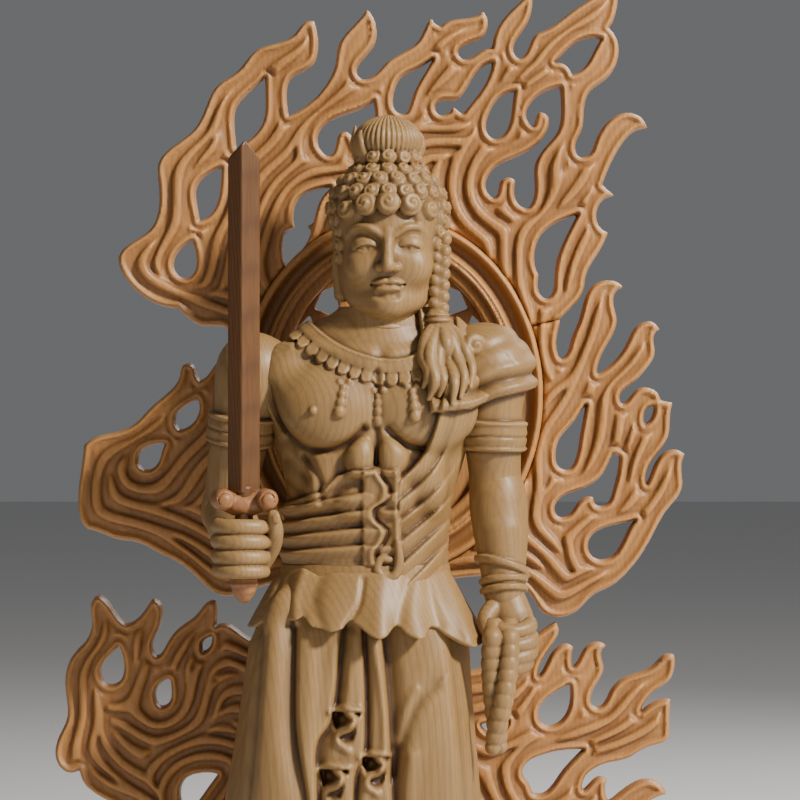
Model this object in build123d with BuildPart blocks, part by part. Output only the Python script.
"""A carved guardian figure in joined wood: a standing man with a sword and a rope, in front of a ring of flames.

Row frame: +Z up, the figure faces -Y, the origin is the centre of the base's underside. Millimetres.
The figure is built from blocks pegged together. Two things come off by hand: the sword draws up out of the
right fist, and the flame ring, on its post, lifts out of a mortise in the base.
"""

import math
import os

from build123d import *

# --- Driving dimensions -------------------------------------------------------------------------------------

# Rock base
base_width = 100.0
base_depth = 86.0
base_height = 34.0
base_taper = 5.0  # how far the top edge steps in on each side
base_corner = 20.0

# Trunk of the figure, from the base upwards
figure_y = -4.0  # the figure's axis stands this far from the base's centre
hem_gap = 12.0  # bare ankles between the rock and the hem
skirt_length = 107.0
torso_length = 56.0
waist_half_width = 20.0
waist_half_depth = 13.5
chest_half_width = 26.0
chest_half_depth = 14.5
hem_half_width = 36.0
hem_half_depth = 23.0
apron_length = 19.0  # the flared overskirt below the belt
apron_half_width = 29.5
apron_half_depth = 21.5

# Head
head_x = 4.5  # the head leans this far to the figure's left
head_height = 39.0
head_half_width = 15.5
neck_length = 7.0  # bare neck between the shoulders and the chin
neck_radius = 9.0
topknot_half_width = 8.8
topknot_height = 11.0

# Arms, as joint centres measured from the middle of the shoulder line
shoulder_radius = 9.0
elbow_radius = 6.8
wrist_radius = 5.0
shoulder_spread = 27.0
right_elbow_drop = 36.0
right_elbow_out = 9.0
left_elbow_drop = 30.0
left_elbow_out = 5.0
left_wrist_drop = 55.0
left_wrist_out = 6.5
left_wrist_forward = 4.0
fist_width = 13.0
fist_depth = 12.0
fist_height = 15.0
fist_rounding = 3.5
left_fist_height = 19.0
rope_radius = 2.4
rope_drop = 17.0  # how far the rope hangs below the left fist

# Feet
foot_length = 34.0
foot_width = 13.0
foot_height = 10.0
ankle_radius = 5.0
stance = 28.0  # between the two feet's centres

# Sword
blade_length = 79.5  # from the guard to the shoulders of the point
blade_width = 8.4
blade_thickness = 5.2
blade_point = 4.6
blade_turn = 9.0  # degrees that the flat faces away from straight ahead
guard_width = 15.4
guard_height = 6.8
guard_depth = 8.6
tang_radius = 2.2
tang_length = 12.0
sword_forward = 26.0  # the sword stands this far in front of the figure's axis
sword_x = -30.2
pommel_length = 5.0

# Flame ring
halo_half_width = 39.0
halo_half_height = 46.0
halo_band = 11.0  # from the ring's outer edge to its bore
halo_rim = 2.2  # the outer bead's width
halo_hollow = 3.6  # the hollow's width, inside the outer bead
hollow_depth = 3.0
halo_x = 5.2
halo_below_shoulder = 12.7  # the ring's centre is below the top of the shoulders
halo_thickness = 9.0
panel_thickness = 3.0
panel_rebate = 3.0
board_thickness = 7.0
board_back_y = 30.0
post_width = 24.0
post_thickness = 8.0
mortise_depth = 14.0

# Pegs and clearances
peg_radius = 1.2
peg_length = 12.0
trunk_tenon_radius = 8.0
trunk_tenon_length = 10.0
glue_gap = 0.05  # round a glued peg
slide_gap = 0.1  # round the sword's tang
mortise_gap = 0.3  # round the post's foot
seat_gap = 0.2  # under a piece that lifts off

# --- Heights and places worked out from them ----------------------------------------------------------------

hem_z = base_height + hem_gap
waist_z = hem_z + skirt_length
shoulder_z = waist_z + torso_length
chin_z = shoulder_z + neck_length
crown_z = chin_z + head_height
arm_z = shoulder_z - 6.0
halo_z = shoulder_z - halo_below_shoulder

right_shoulder = (-shoulder_spread, figure_y + 1, arm_z)
left_shoulder = (shoulder_spread, figure_y + 1, arm_z)
right_elbow = (-shoulder_spread - right_elbow_out, figure_y + 6, arm_z - right_elbow_drop)
left_elbow = (shoulder_spread + left_elbow_out, figure_y + 2, arm_z - left_elbow_drop)
left_wrist = (
    shoulder_spread + left_wrist_out,
    figure_y - left_wrist_forward,
    arm_z - left_wrist_drop,
)
sword_y = figure_y - sword_forward
fist_z = right_elbow[2] - 8.0
right_wrist = (sword_x, sword_y + fist_depth / 2 + 2, fist_z + 1)
guard_z = fist_z + fist_height / 2 + seat_gap


def board_plane(back_y):
    """The flame boards' drawing plane: origin at the ring's centre, x to the right, y up, facing the front."""
    return Plane((halo_x, back_y, halo_z), x_dir=(1, 0, 0), z_dir=(0, -1, 0))


# --- Shapes that repeat -------------------------------------------------------------------------------------


def ellipse_loft(sections):
    """A block through ellipses at rising heights, each (z, x centre, half width, half depth)."""
    with BuildPart() as block:
        for z, x, half_width, half_depth in sections:
            with BuildSketch(Plane.XY.offset(z)):
                with Locations((x, figure_y)):
                    Ellipse(half_width, half_depth)
        loft()
    return block


def limb(start, end, start_radius, end_radius):
    """A tapered round block from one joint's centre to the next, with ball ends."""
    along = Vector(*end) - Vector(*start)
    lean = math.asin((start_radius - end_radius) / along.length)
    tilt = math.degrees(lean)
    side = along.cross(Vector(1, 0, 0))
    with BuildPart() as block:
        with BuildSketch(Plane(start, x_dir=along, z_dir=side)):
            with BuildLine():
                top = CenterArc((0, 0), start_radius, 180, -90 - tilt)
                foot = CenterArc((along.length, 0), end_radius, 90 - tilt, -90 + tilt)
                Line(top @ 1, foot @ 0)
                Line(foot @ 1, top @ 0)
            make_face()
        revolve(axis=Axis(start, along))
    return block


def peg(middle, direction, radius=peg_radius, length=peg_length):
    """A round peg, and the hole that it is glued into, both centred on a joint."""
    plane = Plane(middle, z_dir=direction)
    with BuildPart(plane) as pin:
        Cylinder(radius, length)
    with BuildPart(plane) as hole:
        Cylinder(radius + glue_gap, length + 2 * glue_gap)
    return pin, hole


def outline(strokes):
    """A face inside strokes that join end to end. Each stroke is a smooth line through its points, drawn for a
    ring 78 wide and 92 high, and strokes meet at a corner: a flame's tip or the crotch of two."""
    across = halo_half_width / 39.0
    up = halo_half_height / 46.0
    with BuildSketch() as face:
        with BuildLine():
            last = strokes[-1][-1]
            for stroke in strokes:
                points = [Vector(u * across, v * up) for u, v in [last, *stroke]]
                if len(points) > 2:
                    Spline(*points)
                else:
                    Line(*points)
                last = stroke[-1]
        make_face()
    return face


def write(block, name):
    block.part.label = name
    export_step(block.part, f"parts/{name}.step")


os.makedirs("parts", exist_ok=True)

# --- Trunk --------------------------------------------------------------------------------------------------

skirt_body = ellipse_loft(
    [
        (hem_z, -5, hem_half_width, hem_half_depth),
        (hem_z + 0.45 * skirt_length, -4, hem_half_width - 4.5, hem_half_depth - 2),
        (waist_z - apron_length, -2.5, (hem_half_width + waist_half_width) / 2 - 2, hem_half_depth - 5),
        (waist_z, -1, waist_half_width + 1, waist_half_depth + 1),
    ]
)
apron = ellipse_loft(
    [
        (waist_z - apron_length, -1.6, apron_half_width, apron_half_depth),
        (waist_z, -1, waist_half_width + 2, waist_half_depth + 2),
    ]
)
torso_body = ellipse_loft(
    [
        (waist_z, -1, waist_half_width, waist_half_depth),
        (waist_z + 0.4 * torso_length, 0, waist_half_width + 1, waist_half_depth + 0.5),
        (waist_z + 0.72 * torso_length, 0, chest_half_width - 1, chest_half_depth),
        (waist_z + 0.9 * torso_length, 0.5, chest_half_width, chest_half_depth - 0.5),
        (shoulder_z, 1.5, chest_half_width - 9, chest_half_depth - 4.5),
    ]
)
neck_tenon_length = 8.0
neck_x = head_x - 2

# Feet, with ankles that go up into the skirt block
feet = {}
ankle_socket = 8.0
for side, name in ((-1, "right_foot"), (1, "left_foot")):
    foot_x = -5 + side * stance / 2
    with BuildPart() as foot:
        with BuildSketch(Plane.XY.offset(base_height)):
            with Locations((foot_x + side * 1.5, figure_y - 8)):
                SlotOverall(foot_length, foot_width, rotation=90 + side * 8)
        extrude(amount=foot_height, taper=12)
        with Locations((foot_x, figure_y, base_height)):
            Cylinder(ankle_radius, hem_gap + ankle_socket, align=(Align.CENTER, Align.CENTER, Align.MIN))
    feet[name] = foot

foot_pegs = []
for side, name in ((-1, "right_foot"), (1, "left_foot")):
    pin, hole = peg((-5 + side * stance / 2, figure_y, base_height), (0, 0, 1), radius=2.0, length=16)
    foot_pegs.append(pin)
    with BuildPart() as foot:
        add(feet[name].part)
        add(hole.part, mode=Mode.SUBTRACT)
    feet[name] = foot
    write(foot, name)
with BuildPart() as foot_peg_set:
    for pin in foot_pegs:
        add(pin.part)
write(foot_peg_set, "foot_pegs")

with BuildPart() as skirt:
    add(skirt_body.part)
    add(apron.part)
    with Locations((-1, figure_y, waist_z)):
        Cylinder(
            trunk_tenon_radius + glue_gap,
            2 * (trunk_tenon_length + glue_gap),
            mode=Mode.SUBTRACT,
        )
    with Locations(*[(-5 + side * stance / 2, figure_y, hem_z) for side in (-1, 1)]):
        Cylinder(ankle_radius + glue_gap, 2 * (ankle_socket + glue_gap), mode=Mode.SUBTRACT)
write(skirt, "skirt_block")

shoulder_pins = []
for joint, side in ((right_shoulder, -1), (left_shoulder, 1)):
    middle = (joint[0] + 0.5 * side, joint[1], joint[2])
    shoulder_pins.append(peg(middle, (1, 0, 0), radius=1.8, length=14))

with BuildPart() as torso:
    add(torso_body.part)
    with Locations((-1, figure_y, waist_z)):
        Cylinder(
            trunk_tenon_radius, trunk_tenon_length, align=(Align.CENTER, Align.CENTER, Align.MAX)
        )
    with Locations((neck_x, figure_y, shoulder_z)):
        Cylinder(
            neck_radius - 1.5 + glue_gap, 2 * (neck_tenon_length + glue_gap), mode=Mode.SUBTRACT
        )
    for pin, hole in shoulder_pins:
        add(hole.part, mode=Mode.SUBTRACT)
write(torso, "torso_block")

# --- Head, its topknot and the side lock --------------------------------------------------------------------

topknot_tuck = 1.0  # the topknot is let in this far
knot_peg, knot_hole = peg((head_x, figure_y, crown_z - topknot_tuck), (0, 0, 1), length=8)
with BuildPart() as head:
    with BuildSketch(Plane((head_x, figure_y - 1, chin_z), x_dir=(1, 0, 0), z_dir=(0, -1, 0))):
        with BuildLine():
            jaw = 0.6 * head_half_width
            Polyline((0, 0), (jaw, 0))
            Spline(
                (jaw, 0),
                (head_half_width, 0.45 * head_height),
                (0.93 * head_half_width, 0.8 * head_height),
                (0.45 * head_half_width, head_height),
            )
            Polyline((0.45 * head_half_width, head_height), (0, head_height), (0, 0))
        make_face()
    revolve(axis=Axis((head_x, figure_y - 1, 0), (0, 0, 1)))
    with Locations((neck_x, figure_y, shoulder_z)):
        Cylinder(neck_radius, neck_length + 4, align=(Align.CENTER, Align.CENTER, Align.MIN))
        Cylinder(
            neck_radius - 1.5, neck_tenon_length, align=(Align.CENTER, Align.CENTER, Align.MAX)
        )
    with Locations((head_x, figure_y, crown_z)):
        Cylinder(topknot_half_width - 2, 2 * topknot_tuck, mode=Mode.SUBTRACT)
    add(knot_hole.part, mode=Mode.SUBTRACT)
write(head, "head_block")

with BuildPart() as topknot:
    with BuildSketch(Plane((head_x, figure_y, crown_z - topknot_tuck), x_dir=(1, 0, 0), z_dir=(0, -1, 0))):
        with BuildLine():
            foot_radius = topknot_half_width - 2 - glue_gap
            Line((foot_radius, 0), (foot_radius, topknot_tuck))
            ThreePointArc(
                (foot_radius, topknot_tuck),
                (topknot_half_width, 0.5 * topknot_height),
                (0.3 * topknot_half_width, topknot_height + topknot_tuck),
            )
            Polyline(
                (0.3 * topknot_half_width, topknot_height + topknot_tuck),
                (0, topknot_height + topknot_tuck),
                (0, 0),
                (foot_radius, 0),
            )
        make_face()
    revolve(axis=Axis((head_x, figure_y, 0), (0, 0, 1)))
    add(knot_hole.part, mode=Mode.SUBTRACT)
write(topknot, "topknot")
write(knot_peg, "topknot_peg")

lock_top = (head_x + head_half_width - 1.5, figure_y - 3, chin_z + 0.55 * head_height)
lock_tie = (head_x + head_half_width - 3, figure_y - 6, chin_z - 0.5)
lock_end = (head_x + head_half_width - 1.5, figure_y - chest_half_depth - 1.5, shoulder_z - 14)
lock_upper = limb(lock_top, lock_tie, 3.4, 2.8)
lock_lower = limb(lock_tie, lock_end, 2.8, 3.8)
with BuildPart() as side_lock:
    add(lock_upper.part)
    add(lock_lower.part)
    add(head.part, mode=Mode.SUBTRACT)
    add(torso.part, mode=Mode.SUBTRACT)
write(side_lock, "side_lock")

# --- Arms and hands -----------------------------------------------------------------------------------------

elbow_pins = [
    peg(right_elbow, Vector(*right_elbow) - Vector(*right_shoulder)),
    peg(left_elbow, Vector(*left_elbow) - Vector(*left_shoulder)),
]
wrist_pins = [
    peg(right_wrist, Vector(*right_wrist) - Vector(*right_elbow), radius=1.0, length=8),
    peg(left_wrist, Vector(*left_wrist) - Vector(*left_elbow), length=10),
]

right_upper_arm_body = limb(right_shoulder, right_elbow, shoulder_radius, elbow_radius)
left_upper_arm_body = limb(left_shoulder, left_elbow, shoulder_radius, elbow_radius)
right_forearm_body = limb(right_elbow, right_wrist, elbow_radius - 0.6, wrist_radius)
left_forearm_body = limb(left_elbow, left_wrist, elbow_radius - 0.2, wrist_radius + 0.4)

with BuildPart() as right_hand_body:
    with Locations((sword_x, sword_y, fist_z)):
        Box(fist_width, fist_depth, fist_height)
    fillet(right_hand_body.edges(), fist_rounding)
with BuildPart() as left_hand_body:
    with Locations((left_wrist[0] + 1, left_wrist[1] - 1, left_wrist[2] - 10.5)):
        Box(fist_width, fist_depth + 2, left_fist_height)
    fillet(left_hand_body.edges(), fist_rounding)

# The rope: two strands side by side, plugged up into the left fist
rope_x = left_wrist[0] - 0.5
rope_y = left_wrist[1] - 5.0
rope_top = left_wrist[2] - 12.0
rope_foot = left_wrist[2] - 10.5 - left_fist_height / 2 - rope_drop
rope_strands = [
    limb(
        (rope_x + side * rope_radius * 0.9, rope_y, rope_top),
        (rope_x + side * rope_radius * 0.9 - 1.5, rope_y, rope_foot),
        rope_radius,
        rope_radius - 0.2,
    )
    for side in (-1, 1)
]
with BuildPart() as rope:
    for strand in rope_strands:
        add(strand.part)
write(rope, "rope_coil")


def fitted(body, cutters, pins):
    """A block trimmed back to what it seats on, with its peg holes bored."""
    with BuildPart() as block:
        add(body.part)
        for cutter in cutters:
            add(cutter.part, mode=Mode.SUBTRACT)
        for _, hole in pins:
            add(hole.part, mode=Mode.SUBTRACT)
    return block


right_upper_arm = fitted(right_upper_arm_body, [torso], [shoulder_pins[0], elbow_pins[0]])
left_upper_arm = fitted(left_upper_arm_body, [torso, side_lock], [shoulder_pins[1], elbow_pins[1]])
right_forearm = fitted(
    right_forearm_body, [right_upper_arm_body, torso, right_hand_body], [elbow_pins[0], wrist_pins[0]]
)
left_forearm = fitted(
    left_forearm_body, [left_upper_arm_body, torso, skirt, left_hand_body], [elbow_pins[1], wrist_pins[1]]
)
left_hand = fitted(left_hand_body, [rope, skirt], [wrist_pins[1]])

pommel_plug = 3.0
pommel_top = fist_z - fist_height / 2
with BuildPart() as right_hand:
    add(right_hand_body.part)
    with Locations((sword_x, sword_y, fist_z)):
        Cylinder(tang_radius + slide_gap, fist_height + 2, mode=Mode.SUBTRACT)
    add(wrist_pins[0][1].part, mode=Mode.SUBTRACT)
with BuildPart() as pommel:
    with BuildSketch(Plane.XY.offset(pommel_top)):
        with Locations((sword_x, sword_y)):
            RegularPolygon(3.4, 6)
    extrude(amount=-pommel_length, taper=14)
    with Locations((sword_x, sword_y, pommel_top)):
        Cylinder(
            tang_radius + slide_gap - glue_gap,
            pommel_plug,
            align=(Align.CENTER, Align.CENTER, Align.MIN),
        )
write(right_upper_arm, "right_upper_arm")
write(left_upper_arm, "left_upper_arm")
write(right_forearm, "right_forearm")
write(left_forearm, "left_forearm")
write(right_hand, "right_hand")
write(left_hand, "left_hand")
write(pommel, "sword_pommel")
with BuildPart() as arm_pegs:
    for pin, _ in [*shoulder_pins, *elbow_pins, *wrist_pins]:
        add(pin.part)
write(arm_pegs, "arm_pegs")

# --- Sword, which draws up out of the fist ------------------------------------------------------------------

blade_z = guard_z + guard_height
guard_plane = Plane(
    (sword_x, sword_y, guard_z), x_dir=Vector(1, 0, 0).rotate(Axis.Z, blade_turn), z_dir=(0, 0, 1)
)
blade_corners = [
    (-blade_width / 2, 0),
    (-blade_width / 8, -blade_thickness / 2),
    (blade_width / 8, -blade_thickness / 2),
    (blade_width / 2, 0),
    (blade_width / 8, blade_thickness / 2),
    (-blade_width / 8, blade_thickness / 2),
]
blunt = 0.08  # the point's own width, as a share of the blade's
with BuildPart() as blade:
    with BuildSketch(guard_plane.offset(guard_height)):
        Polygon(*blade_corners, align=None)
    extrude(amount=blade_length)
    with BuildSketch(guard_plane.offset(guard_height + blade_length)):
        Polygon(*blade_corners, align=None)
    with BuildSketch(guard_plane.offset(guard_height + blade_length + blade_point)):
        Polygon(*[(x * blunt, y * blunt) for x, y in blade_corners], align=None)
    loft()
    with Locations((sword_x, sword_y, blade_z)):
        Cylinder(
            tang_radius,
            guard_height + seat_gap + tang_length - pommel_plug,
            align=(Align.CENTER, Align.CENTER, Align.MAX),
        )
write(blade, "sword_blade")

scroll_radius = 0.38 * guard_height
with BuildPart() as guard:
    front = Plane(
        guard_plane.origin, x_dir=guard_plane.x_dir, z_dir=-guard_plane.y_dir
    )
    with BuildSketch(front.offset(-guard_depth / 2)):
        with Locations((0, 0.62 * guard_height)):
            SlotOverall(guard_width, 2 * scroll_radius)
        with Locations((0, guard_height)):
            Rectangle(
                guard_width - 4 * scroll_radius, 0.25 * guard_height, align=(Align.CENTER, Align.MAX)
            )
        with Locations((0, 0.5 * guard_height)):
            Ellipse(0.4 * guard_width, 0.5 * guard_height)
    extrude(amount=guard_depth)
    with Locations((sword_x, sword_y, blade_z)):
        Cylinder(
            tang_radius + glue_gap, 3 * guard_height, mode=Mode.SUBTRACT
        )
write(guard, "sword_guard")

# --- Flame ring ---------------------------------------------------------------------------------------------



def ring_disc(inset, back_y, height):
    """An elliptical disc whose edge is inset from the ring's outer edge, from back_y towards the front."""
    with BuildPart() as disc:
        with BuildSketch(board_plane(back_y)):
            Ellipse(halo_half_width - inset, halo_half_height - inset)
        extrude(amount=height)
    return disc.part


# The ring: a raised outer rim, a wide hollow and a raised inner band, with a rebate behind for the panel
hollow_floor_y = board_back_y - halo_thickness + hollow_depth
with BuildPart() as ring:
    add(ring_disc(0, board_back_y, halo_thickness))
    add(ring_disc(halo_rim, hollow_floor_y, hollow_depth), mode=Mode.SUBTRACT)
    add(ring_disc(halo_rim + halo_hollow, hollow_floor_y, 0.6 * hollow_depth))
    add(ring_disc(halo_band, board_back_y, halo_thickness), mode=Mode.SUBTRACT)
    add(ring_disc(halo_band - panel_rebate, board_back_y, panel_thickness + glue_gap), mode=Mode.SUBTRACT)

# Each flame board is drawn in the plane, from the ring outwards, clockwise. Corners are flame tips and crotches.
crown_seam = [(43.5, 19.5), (33, 17)]
crown_edge = [
    [(-38, 14), (-42, 16.5)],
    [(-44, 17.7), (-48, 17.6), (-52, 19.5), (-55, 22.3)],
    [(-60, 23.2), (-65, 26.2), (-69, 31), (-70, 35.5), (-66, 39.6), (-61.5, 43), (-59.7, 48), (-59.7, 54),
     (-59.8, 59.5), (-55.5, 64.3), (-50.5, 68.5), (-47.7, 74), (-45, 79.3), (-39.5, 83.3), (-35, 88.5),
     (-30, 90.3), (-25, 92.5), (-22.3, 95.6), (-19.8, 96)],
    [(-18.9, 92.5), (-19.3, 86.5)],
    [(-22.5, 83.2), (-26, 81), (-26.9, 77.5), (-26.3, 71.8)],
    [(-21, 75), (-17, 79.3), (-14.3, 85), (-13.5, 89.8), (-10, 94.5), (-6.2, 99)],
    [(-4, 95.5), (-4, 91), (-7.2, 86.3), (-8.9, 83), (-7.5, 81.2), (-4.5, 82), (-1, 85.5), (3, 88), (7, 91),
     (9, 95), (10.3, 96.9)],
    [(11.5, 95.4), (12.8, 94.7)],
    [(16.5, 96.6), (21, 97.2), (23.5, 98.7)],
    [(24.9, 96), (24, 92.5), (19.5, 90.2), (17.2, 88), (18.5, 86.3), (22, 87.6), (26, 89)],
    [(26.3, 91.5), (28, 95.5), (31.5, 99.5), (36, 104)],
    [(36.3, 100), (35, 95.5), (32.3, 91.5), (31.5, 88), (33, 86.4), (34.8, 88), (36.2, 91.3), (37.8, 93)],
    [(41.5, 94.8), (46, 98.3), (51.5, 102), (59.5, 109)],
    [(58.6, 104), (58, 99), (56, 94.3)],
    [(58.4, 90.5), (58.2, 86), (55, 81), (51, 77.8), (49.6, 73.5), (49, 68), (47.3, 63.8), (48.5, 61.2),
     (50.8, 61.7), (52.5, 65), (55.5, 70), (60.5, 72.6), (64.3, 71.3), (65.8, 68.6)],
    [(62, 67.4), (59, 64), (56.5, 59.5), (54.3, 54)],
    [(57.6, 51.2)],
    [(54, 49.5), (52.8, 46.5), (53.5, 43.5), (55.8, 41.8)],
    [(54.3, 38.2), (52, 34.5), (50.2, 31), (49.3, 26.5), (46, 22), crown_seam[0]],
    [crown_seam[1]],
    [(0, 20)],
    [(-32, 12)],
]
crown_holes = [
    [[(-36.5, 77.8), (-39.8, 74), (-40.3, 68.5), (-39.8, 63.5)], [(-36, 66), (-33, 70), (-32.3, 76), (-32.3, 82)]],
    [[(-47, 56.8), (-50, 53.5), (-50, 49), (-49.2, 44.8)], [(-46, 46.8), (-44.3, 50.5), (-43.5, 58.5)]],
    [[(-54.5, 37), (-56, 33.5), (-54.5, 30.6), (-52.5, 30), (-50.5, 31.8), (-50, 35), (-51, 39.5)]],
    [[(-9, 73), (-15, 70.8), (-18.8, 67), (-18, 62.8), (-15.8, 61.4), (-14.2, 64), (-13.4, 67), (-11.5, 67.7)],
     [(-9.8, 66), (-8, 62), (-5, 61.5)], [(-4, 68), (-4.5, 75.5)]],
    [[(-20, 52.5), (-24, 50), (-25.2, 46), (-24.7, 42.8)], [(-26.8, 42), (-27.9, 38), (-27, 33)],
     [(-23.5, 36.5), (-21, 40.5), (-19.7, 45.5), (-15, 53.5)]],
    [[(9, 85.3), (7, 84), (2.5, 81.5), (0.6, 77.5), (1.5, 72.8), (3.5, 72.2), (5, 75), (6.5, 79), (8.8, 83),
      (11, 86.5)]],
    [[(22, 83), (19.5, 79), (16.5, 75.8), (13, 75.7), (11.3, 74), (12.2, 72.2), (14.3, 72.2), (15.8, 74.2)],
     [(18.4, 72.2)], [(21.5, 76), (24.5, 80.5), (26, 85.5)]],
    [[(27.5, 76), (25, 72), (24.5, 68), (26.5, 65.8), (29, 67), (30.8, 71), (31.8, 78)]],
    [[(38, 77), (35.3, 74), (35, 70.5), (36.5, 69), (37.2, 71), (38.3, 72.6)],
     [(40.3, 71.5), (40, 67.8), (37.5, 64.5), (33, 61.5), (27.5, 59), (24.8, 56), (24.6, 52.5), (26.5, 50.7),
      (27.6, 52.5), (28.2, 55), (30, 56), (32, 54.8)],
     [(31.7, 51.5), (33, 48.8), (35, 48), (36.5, 50), (37, 54), (37, 59), (39.5, 63.5), (43, 68), (43.8, 73),
      (43.5, 79)]],
    [[(49, 91.3), (45.5, 89), (42, 85.3)], [(44.3, 85), (46.5, 82.2)], [(49.5, 84), (52, 88), (54, 91.5)]],
    [[(43, 44.5), (38.5, 41), (36.9, 37), (37, 33), (38, 30.7)],
     [(37.6, 28), (38.3, 25.8), (39.8, 24.8), (41.3, 25.8), (42, 29), (42.5, 34), (44, 38.5), (48, 46.5)]],
]
middle_right_edge = [
    [crown_seam[0]],
    [(42.6, 15), (42.6, 11.5), (43.8, 9.4), (45, 10.3), (46.3, 14), (48.3, 19), (49.8, 24.5), (52, 28.2),
     (56, 29.6), (59.8, 27.6)],
    [(57.5, 26), (57.2, 23), (58, 19.5), (56.5, 14.5), (53.8, 9.5), (53, 5.3)],
    [(57, 8.2), (60.5, 13), (63, 17.5), (66, 19), (69, 16.8)],
    [(67.5, 15), (67.8, 11), (65.5, 6.5), (61.5, 2.5), (58.8, -0.7), (59.4, -2.2), (61.5, -0.5), (64, 1.8),
     (67.3, 1.5), (69.3, -1.4)],
    [(72.5, -2)],
    [(71.8, -5), (71.5, -10), (69, -14.5), (66, -19), (65.7, -23)],
    [(67, -20), (69, -16), (72.5, -14), (75.5, -15.3)],
    [(74.7, -18), (74.8, -24), (71, -29.5), (68, -34.5), (65, -40), (61, -45.3), (56, -49.5), (52, -51.5),
     (48, -55.5), (43.5, -57.2), (39, -56), (36, -51.8), (31, -47.5), (25, -46.5), (10, -47.5)],
    [(8, -30)],
    [crown_seam[1]],
]
middle_right_holes = [
    [[(48.6, -4.6), (47, -7), (43.5, -11), (42.3, -15), (43.3, -18.6), (45.5, -19.2), (47.5, -16.5),
      (48.6, -11), (49.7, -5), (50.2, -2.2)]],
    [[(58.3, -20), (57, -25), (55.5, -28), (53.6, -28.6), (52, -26.2)],
     [(50, -26.3), (47.5, -28.5), (45.5, -31), (43.2, -31.3), (42, -29.5), (43, -27), (46, -25.2), (50, -23.8),
      (54, -21), (56, -17.5), (57.2, -15.2)], [(58.8, -16)]],
    [[(59.5, -33), (54, -34.5), (51, -37), (50.8, -40), (53, -42.2), (56, -42), (58.5, -39.5), (63, -32)]],
    [[(66, -3.4), (65, -5.5), (65.3, -7.6)], [(66.8, -6.2), (67.6, -3)]],
]
middle_left_edge = [
    [(-39.6, 5), (-40.2, 8), (-42, 9.2)],
    [(-44.5, 8.6), (-46.5, 6), (-49, 3.8)],
    [(-50, 5.7), (-51, 7.9), (-53.5, 7.7), (-54.3, 5), (-55.5, 2.5), (-58.5, -0.4), (-62, -3.5), (-66, -7.5),
     (-70, -9.3), (-75, -10.5), (-79, -13)],
    [(-79.8, -20), (-80.5, -27), (-79.8, -32), (-78, -34.5)],
    [(-74, -35.7), (-70, -37.2), (-66, -37.7), (-60, -40.5), (-55, -43), (-51, -46), (-46, -50.5),
     (-42, -51.8), (-37, -50.5), (-28, -48), (-10, -48.5)],
    [(-8, -30)],
    [(-30, 3)],
]
middle_left_holes = [
    [[(-53, -3), (-55.1, -5), (-54.4, -8.8)], [(-51, -7.3), (-49.3, -4), (-49.8, -1)]],
    [[(-61.5, -13), (-64.5, -15), (-64.6, -18), (-62.5, -19.2), (-60.3, -18), (-59, -15), (-58, -12.5)]],
]
lower_left_edge = [
    [(-79, -99.5), (-75, -103), (-66, -107.5), (-56, -113), (-44, -118), (-30, -122), (-14, -125), (0, -127)],
    [(0, -72)],
    [(-10, -71), (-20, -68.5), (-30, -65), (-38.5, -61), (-42, -58.8), (-45, -59.3)],
    [(-44.6, -56), (-45.3, -52.6)],
    [(-47.5, -53.5), (-50, -56.5), (-54, -59.5), (-57, -62.8), (-58.8, -66), (-60, -67), (-61, -66),
     (-60.5, -62), (-58.7, -57), (-59, -53.8), (-61.2, -52.2)],
    [(-62.6, -54.3), (-65, -57.3), (-67.9, -58.8)],
    [(-71, -55.5), (-73.3, -52.5), (-75.3, -51.5), (-77, -53.5), (-76.8, -58.5), (-78.3, -63), (-81.5, -66.5),
     (-83.5, -71), (-83.6, -77), (-83.3, -83), (-85, -87), (-86.3, -91.5), (-85.5, -95), (-83, -97),
     (-80, -96.3)],
]
lower_left_holes = [
    [[(-69.3, -66), (-68.6, -69.5), (-69.3, -73), (-71.5, -74.5), (-73.5, -74), (-74.6, -71), (-72.5, -67.3),
      (-70, -64.5)]],
    [[(-59.5, -74.5), (-60.5, -77.5), (-59, -80), (-57.3, -79.3), (-56.5, -76), (-56.8, -73)]],
    [[(-48, -74.5), (-51, -78), (-51, -83.5)], [(-48, -84.5), (-46, -86), (-44.3, -85.8), (-43.6, -82),
     (-44.3, -73)]],
    [[(-48.5, -64), (-48.2, -66)], [(-46.8, -65), (-46, -62)]],
    [[(-49, -97.3), (-53, -99), (-54, -104), (-52, -108)], [(-48.5, -103), (-44.5, -97.5)]],
]
lower_right_edge = [
    [(8, -71), (18, -71), (27, -69), (33, -65), (37.5, -61.5), (42.3, -58.4)],
    [(43.2, -60.5), (42, -63.5), (39, -68), (37.8, -72.5)],
    [(39.5, -70), (41, -67), (43, -64.8), (45, -64), (46.9, -65)],
    [(46.4, -67.5), (46.8, -70)],
    [(48.5, -67.5), (50, -65), (52.5, -63.6), (55.4, -64.5)],
    [(54, -66.5), (54.7, -70), (53.5, -73.5), (51.5, -77), (51.7, -79.5), (53.2, -80.4), (55, -79), (56.5, -76),
     (59.5, -73), (64, -71.3), (67.5, -69.5), (70, -67), (72.8, -66.8)],
    [(72.9, -70), (71.5, -73.5), (68, -76), (65.3, -79), (63.8, -82)],
    [(66, -80), (69, -78.5), (71.8, -78.2)],
    [(71.5, -88)],
    [(70.5, -89), (66, -90.5), (61, -93.3), (55, -94.8), (51.5, -96.5), (49.3, -99.5), (49.3, -101.5),
     (51.2, -99.8), (53.5, -98.2), (55.6, -99)],
    [(55, -101.5), (56, -104.5)],
    [(58.5, -102.5), (61.5, -100.3), (66, -98.8), (69.5, -100.3), (70.8, -102.5)],
    [(67, -104), (62, -107.5), (54, -113), (42, -118), (28, -122), (12, -126), (0, -127)],
    [(0, -71)],
]
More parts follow.
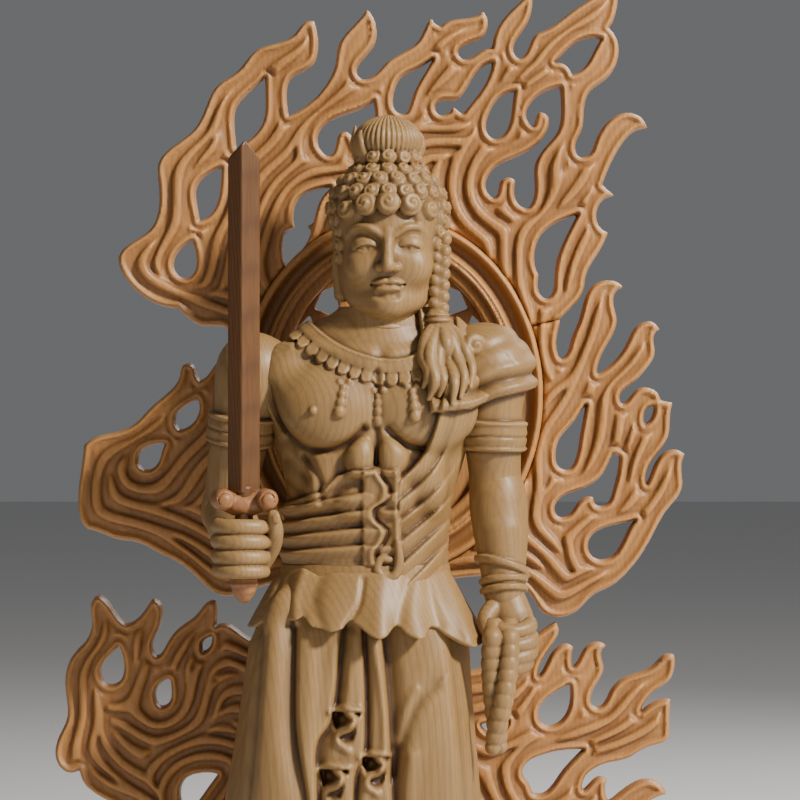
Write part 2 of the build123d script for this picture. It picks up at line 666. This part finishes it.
lower_right_holes = [
    [[(46, -79), (44, -83.5), (41.5, -85), (38.7, -84.3), (37.8, -81.5), (39.5, -78.5), (43, -76),
      (45.8, -74.2)]],
    [[(46, -94.5), (43.5, -97.5), (41, -101), (38.3, -102.7), (36.5, -102.3), (35.5, -100), (33.8, -97.5),
      (34.5, -95), (38, -92.8), (44, -91.3), (49.5, -91)]],
    [[(26, -84), (30, -83.5)], [(28.5, -86), (25, -86.6), (23, -84.5)]],
]


def flame_board(edge, holes, cutters):
    """A board of flames: its outline less its openings, trimmed to what it seats on, with peg holes bored."""
    face = outline(edge)
    openings = [outline(hole) for hole in holes]
    with BuildPart() as board:
        with BuildSketch(board_plane(board_back_y)):
            add(face.sketch_local.face())
            for opening in openings:
                add(opening.sketch_local.face(), mode=Mode.SUBTRACT)
        extrude(amount=board_thickness)
        for cutter in cutters:
            add(cutter, mode=Mode.SUBTRACT)
    return board


ring_place = ring_disc(0, board_back_y + halo_thickness, 3 * halo_thickness)

post_foot_z = base_height - mortise_depth + seat_gap
with BuildPart() as post_body:
    with Locations((halo_x, board_back_y - board_thickness / 2, post_foot_z)):
        Box(
            post_width,
            post_thickness,
            halo_z - post_foot_z,
            align=(Align.CENTER, Align.CENTER, Align.MIN),
        )

middle_y = board_back_y - board_thickness / 2
ring_peg_angles = [150, 118, 84, 50, 31, 8, -20, -48, 188, 212]  # degrees round from +X, spread over the boards
ring_pins = []
for angle in ring_peg_angles:
    across = math.cos(math.radians(angle))
    up = math.sin(math.radians(angle))
    seat = Vector(halo_x + across * halo_half_width, middle_y, halo_z + up * halo_half_height)
    out = Vector(across / halo_half_width, 0, up / halo_half_height)
    ring_pins.append(peg(seat, out, length=8))
post_top_pin = peg((halo_x, middle_y, halo_z - halo_half_height), (0, 0, 1), radius=2.0, length=14)
post_pins = [
    peg((halo_x + side * post_width / 2, middle_y, halo_z - halo_half_height - drop), (1, 0, 0), length=14)
    for side in (-1, 1)
    for drop in (34, 66)
]
all_pins = [*ring_pins, post_top_pin, *post_pins]
pin_holes = [hole.part for _, hole in all_pins]
trims = [ring_place, post_body.part, *pin_holes]

write(flame_board(crown_edge, crown_holes, trims), "flame_crown")
write(flame_board(middle_right_edge, middle_right_holes, trims), "flame_middle_right")
write(flame_board(middle_left_edge, middle_left_holes, trims), "flame_middle_left")
write(flame_board(lower_left_edge, lower_left_holes, trims), "flame_lower_left")
write(flame_board(lower_right_edge, lower_right_holes, trims), "flame_lower_right")

with BuildPart() as halo_ring:
    add(ring.part)
    for hole in pin_holes:
        add(hole, mode=Mode.SUBTRACT)
write(halo_ring, "halo_ring")

panel_inset = halo_band - panel_rebate + glue_gap
leaf_count = 9
leaf_turn = 8.0  # degrees from a leaf's middle to its side
with BuildPart() as panel:
    add(ring_disc(panel_inset, board_back_y, panel_thickness))
    # Pierced leaves round the upper half, with petals between them that end in points
    with BuildSketch(board_plane(board_back_y)):
        for n in range(leaf_count):
            middle_turn = 180 * (n + 0.5) / leaf_count
            corners = []
            for turn, share in ((-leaf_turn, 0.95), (0, 0.99), (leaf_turn, 0.95), (0, 0.74)):
                angle = math.radians(middle_turn + turn)
                corners.append(
                    (
                        share * (halo_half_width - halo_band) * math.cos(angle),
                        share * (halo_half_height - halo_band) * math.sin(angle),
                    )
                )
            Polygon(*corners, align=None)
    extrude(amount=panel_thickness, mode=Mode.SUBTRACT)
write(panel, "halo_panel")

with BuildPart() as post:
    add(post_body.part)
    add(ring_place, mode=Mode.SUBTRACT)
    for hole in pin_holes:
        add(hole, mode=Mode.SUBTRACT)
write(post, "mandorla_post")
with BuildPart() as flame_pegs:
    for pin, _ in all_pins:
        add(pin.part)
write(flame_pegs, "flame_pegs")

# --- Rock base ----------------------------------------------------------------------------------------------

with BuildPart() as base:
    with BuildSketch():
        RectangleRounded(base_width, base_depth, base_corner)
    with BuildSketch(Plane.XY.offset(base_height)):
        RectangleRounded(base_width - 2 * base_taper, base_depth - 2 * base_taper, base_corner - base_taper)
    loft()
    with Locations((halo_x, middle_y, base_height)):
        Box(
            post_width + 2 * mortise_gap,
            post_thickness + 2 * mortise_gap,
            2 * mortise_depth,
            mode=Mode.SUBTRACT,
        )
    for pin in foot_pegs:
        add(pin.part, mode=Mode.SUBTRACT)
write(base, "rock_base")
